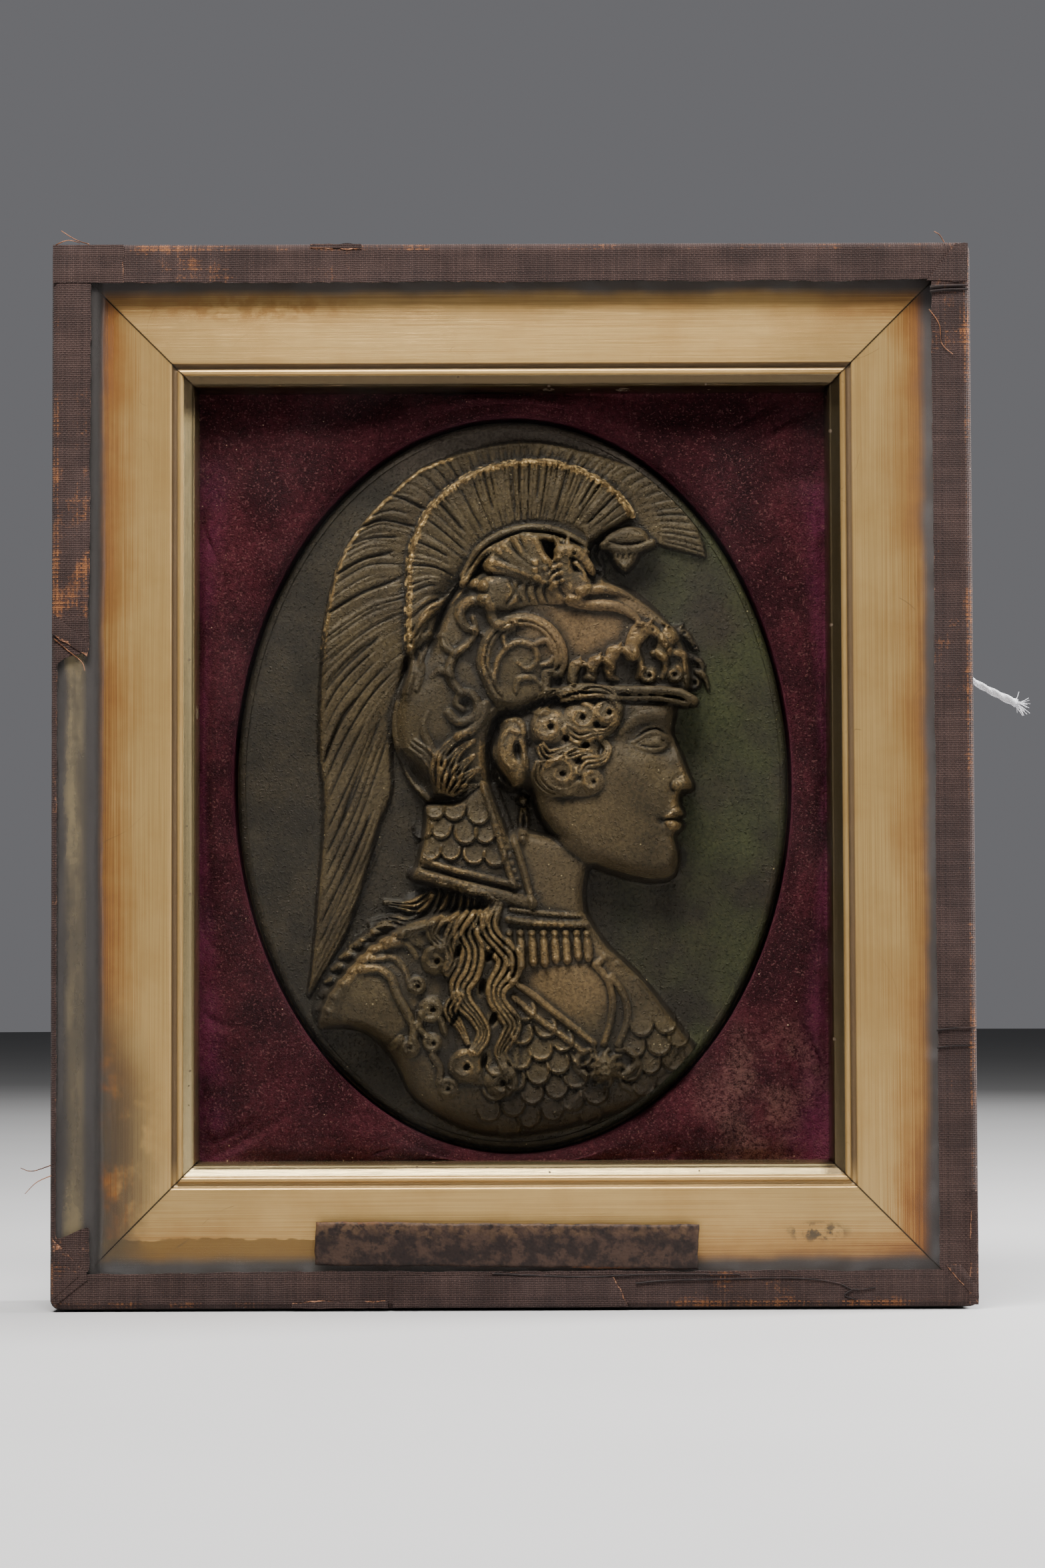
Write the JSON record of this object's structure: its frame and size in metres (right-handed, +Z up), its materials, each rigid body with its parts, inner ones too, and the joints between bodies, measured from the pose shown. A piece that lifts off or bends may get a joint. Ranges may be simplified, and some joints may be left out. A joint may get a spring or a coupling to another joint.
{
  "type": "framed oval relief medallion",
  "caption": "Glazed, cloth-bound shadow-box frame with gilt moulding, holding an oval bronzed relief of a helmeted goddess on velvet.",
  "frame": {"origin": "middle of the underside of the bound box, halfway between its front and its back", "axes": "+X to the viewer's right, +Z up, the glass faces -Y"},
  "size_m": [0.1768, 0.0317, 0.1905],
  "materials": {
    "glass": "clear flat pane, a little dust",
    "gilt": "pale gilt with fine lines along it, worn and soiled towards the outside",
    "box_wood": "plain aged wood and brown paper",
    "velvet": "dark wine-red velvet, dusty",
    "bronzed_cast": "olive-brown bronzing with worn golden high points",
    "book_cloth": "dark brown woven book cloth, frayed, orange threads showing",
    "strip_leather": "dark mottled brown",
    "tack_brass": "dulled brass",
    "cotton_string": "white twisted cotton, cut ends frayed"
  },
  "bodies": {
    "root": {"glass_pane": "glass", "gilt_rail_top": "gilt", "gilt_rail_right": "gilt", "gilt_rail_bottom": "gilt", "gilt_rail_left": "gilt", "box_tray": "box_wood", "velvet_mount": "velvet", "medallion": "bronzed_cast", "binding_top": "book_cloth", "binding_right": "book_cloth", "binding_bottom": "book_cloth", "binding_left": "book_cloth", "front_strip": "strip_leather", "tack_left": "tack_brass", "tack_right": "tack_brass", "hanging_string": "cotton_string", "string_stub": "cotton_string"}
  },
  "joints": []
}
